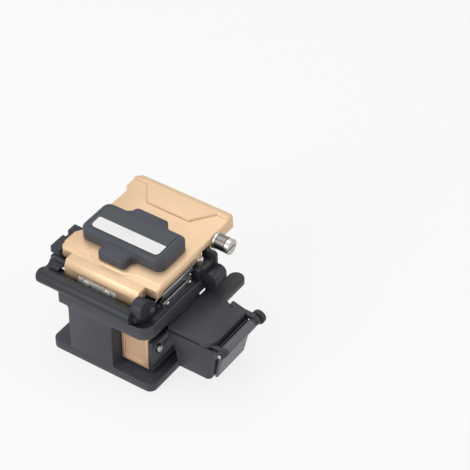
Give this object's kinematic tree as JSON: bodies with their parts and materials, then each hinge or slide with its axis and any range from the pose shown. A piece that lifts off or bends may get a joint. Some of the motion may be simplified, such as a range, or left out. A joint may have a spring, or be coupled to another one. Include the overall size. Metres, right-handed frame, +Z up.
{
  "type": "optical fibre cleaver",
  "caption": "Bench cleaver for optical fibre: hinged clamping lid, sliding blade carriage under a slotted deck, fibre holder and side waste bin.",
  "frame": {"origin": "on the base plate's underside, on the bench, halfway front to back and 27.5 mm in from the plate's right edge", "axes": "+X to the right towards the waste bin, along the fibre; +Y away from the hinge bar, along the blade's stroke; +Z up"},
  "size_m": [0.0987, 0.0772, 0.0589],
  "materials": {
    "dark_casting": "satin dark blue-grey paint on a die casting",
    "black_coat": "fine-textured black coating",
    "black_alloy": "black anodised",
    "champagne": "bead-blasted champagne gold anodising",
    "gold_alloy": "gold anodised",
    "grey_alloy": "clear anodised, machined",
    "pad_plastic": "moulded, fine grain",
    "label_film": null,
    "bin_plastic": "moulded, fine grain",
    "door_plastic": "moulded light grey",
    "nickel": "nickel plated",
    "steel": "turned steel",
    "carbide": "ground carbide",
    "rubber": "soft black rubber"
  },
  "bodies": {
    "base": {"base_casting": "dark_casting", "hinge_yoke": "black_coat", "hinge_pin": "steel", "lower_jaw_left": "grey_alloy", "lower_jaw_right": "grey_alloy", "lower_rubbers": "rubber", "guide_rail": "steel", "fibre_holder": "black_coat", "holder_magnet": "nickel", "lever_pin": "steel", "catch_post": "black_alloy", "catch_magnet": "nickel", "lid_guide_bracket": "black_coat", "bin_shell": "bin_plastic", "bin_pin": "steel"},
    "lid": {"lid_plate": "champagne", "hinge_cover_plate": "nickel", "press_pad": "pad_plastic", "pad_label": "label_film", "clamp_guide_screws": "steel", "anvil": "steel", "lid_magnet": "nickel", "peg_washer": "steel", "peg_collar": "nickel", "peg_screw": "nickel"},
    "clamp": {"upper_clamp_frame": "grey_alloy", "upper_rubbers": "rubber"},
    "carriage": {"slider_block": "steel", "carriage_body": "black_alloy", "push_block": "gold_alloy", "side_plate": "black_alloy", "blade_hub_screw": "steel"},
    "blade": {"blade_wheel": "carbide"},
    "lever": {"holder_lever": "black_coat"},
    "bin_top": {"bin_cover": "bin_plastic"},
    "bin_side": {"bin_door": "door_plastic"}
  },
  "joints": [
    {"name": "lid_hinge", "type": "hinge", "parent": "base", "child": "lid", "pos_m": [0, -0.0207, 0.0432], "axis": [1, 0, 0], "range_deg": [0, 44]},
    {"name": "clamp_float", "type": "slide", "parent": "lid", "child": "clamp", "axis": [0, 0, 1], "range_m": [0, 0.0008], "stiffness_N_per_m": 300, "springref_m": -0.0005},
    {"name": "blade_slide", "type": "slide", "parent": "base", "child": "carriage", "axis": [0, 1, 0], "range_m": [0, 0.02]},
    {"name": "blade_index", "type": "hinge", "parent": "carriage", "child": "blade", "pos_m": [0.01845, -0.0095, 0.0338], "axis": [1, 0, 0], "continuous": true},
    {"name": "lever_hinge", "type": "hinge", "parent": "base", "child": "lever", "pos_m": [-0.0372, -0.0128, 0.0443], "axis": [1, 0, 0], "range_deg": [0, 100]},
    {"name": "bin_cover_hinge", "type": "hinge", "parent": "base", "child": "bin_top", "pos_m": [0.055, 0, 0.027], "axis": [0, 1, 0], "range_deg": [0, 80]},
    {"name": "bin_door_hinge", "type": "hinge", "parent": "base", "child": "bin_side", "pos_m": [0.055, 0, 0.027], "axis": [0, -1, 0], "range_deg": [0, 75]}
  ]
}
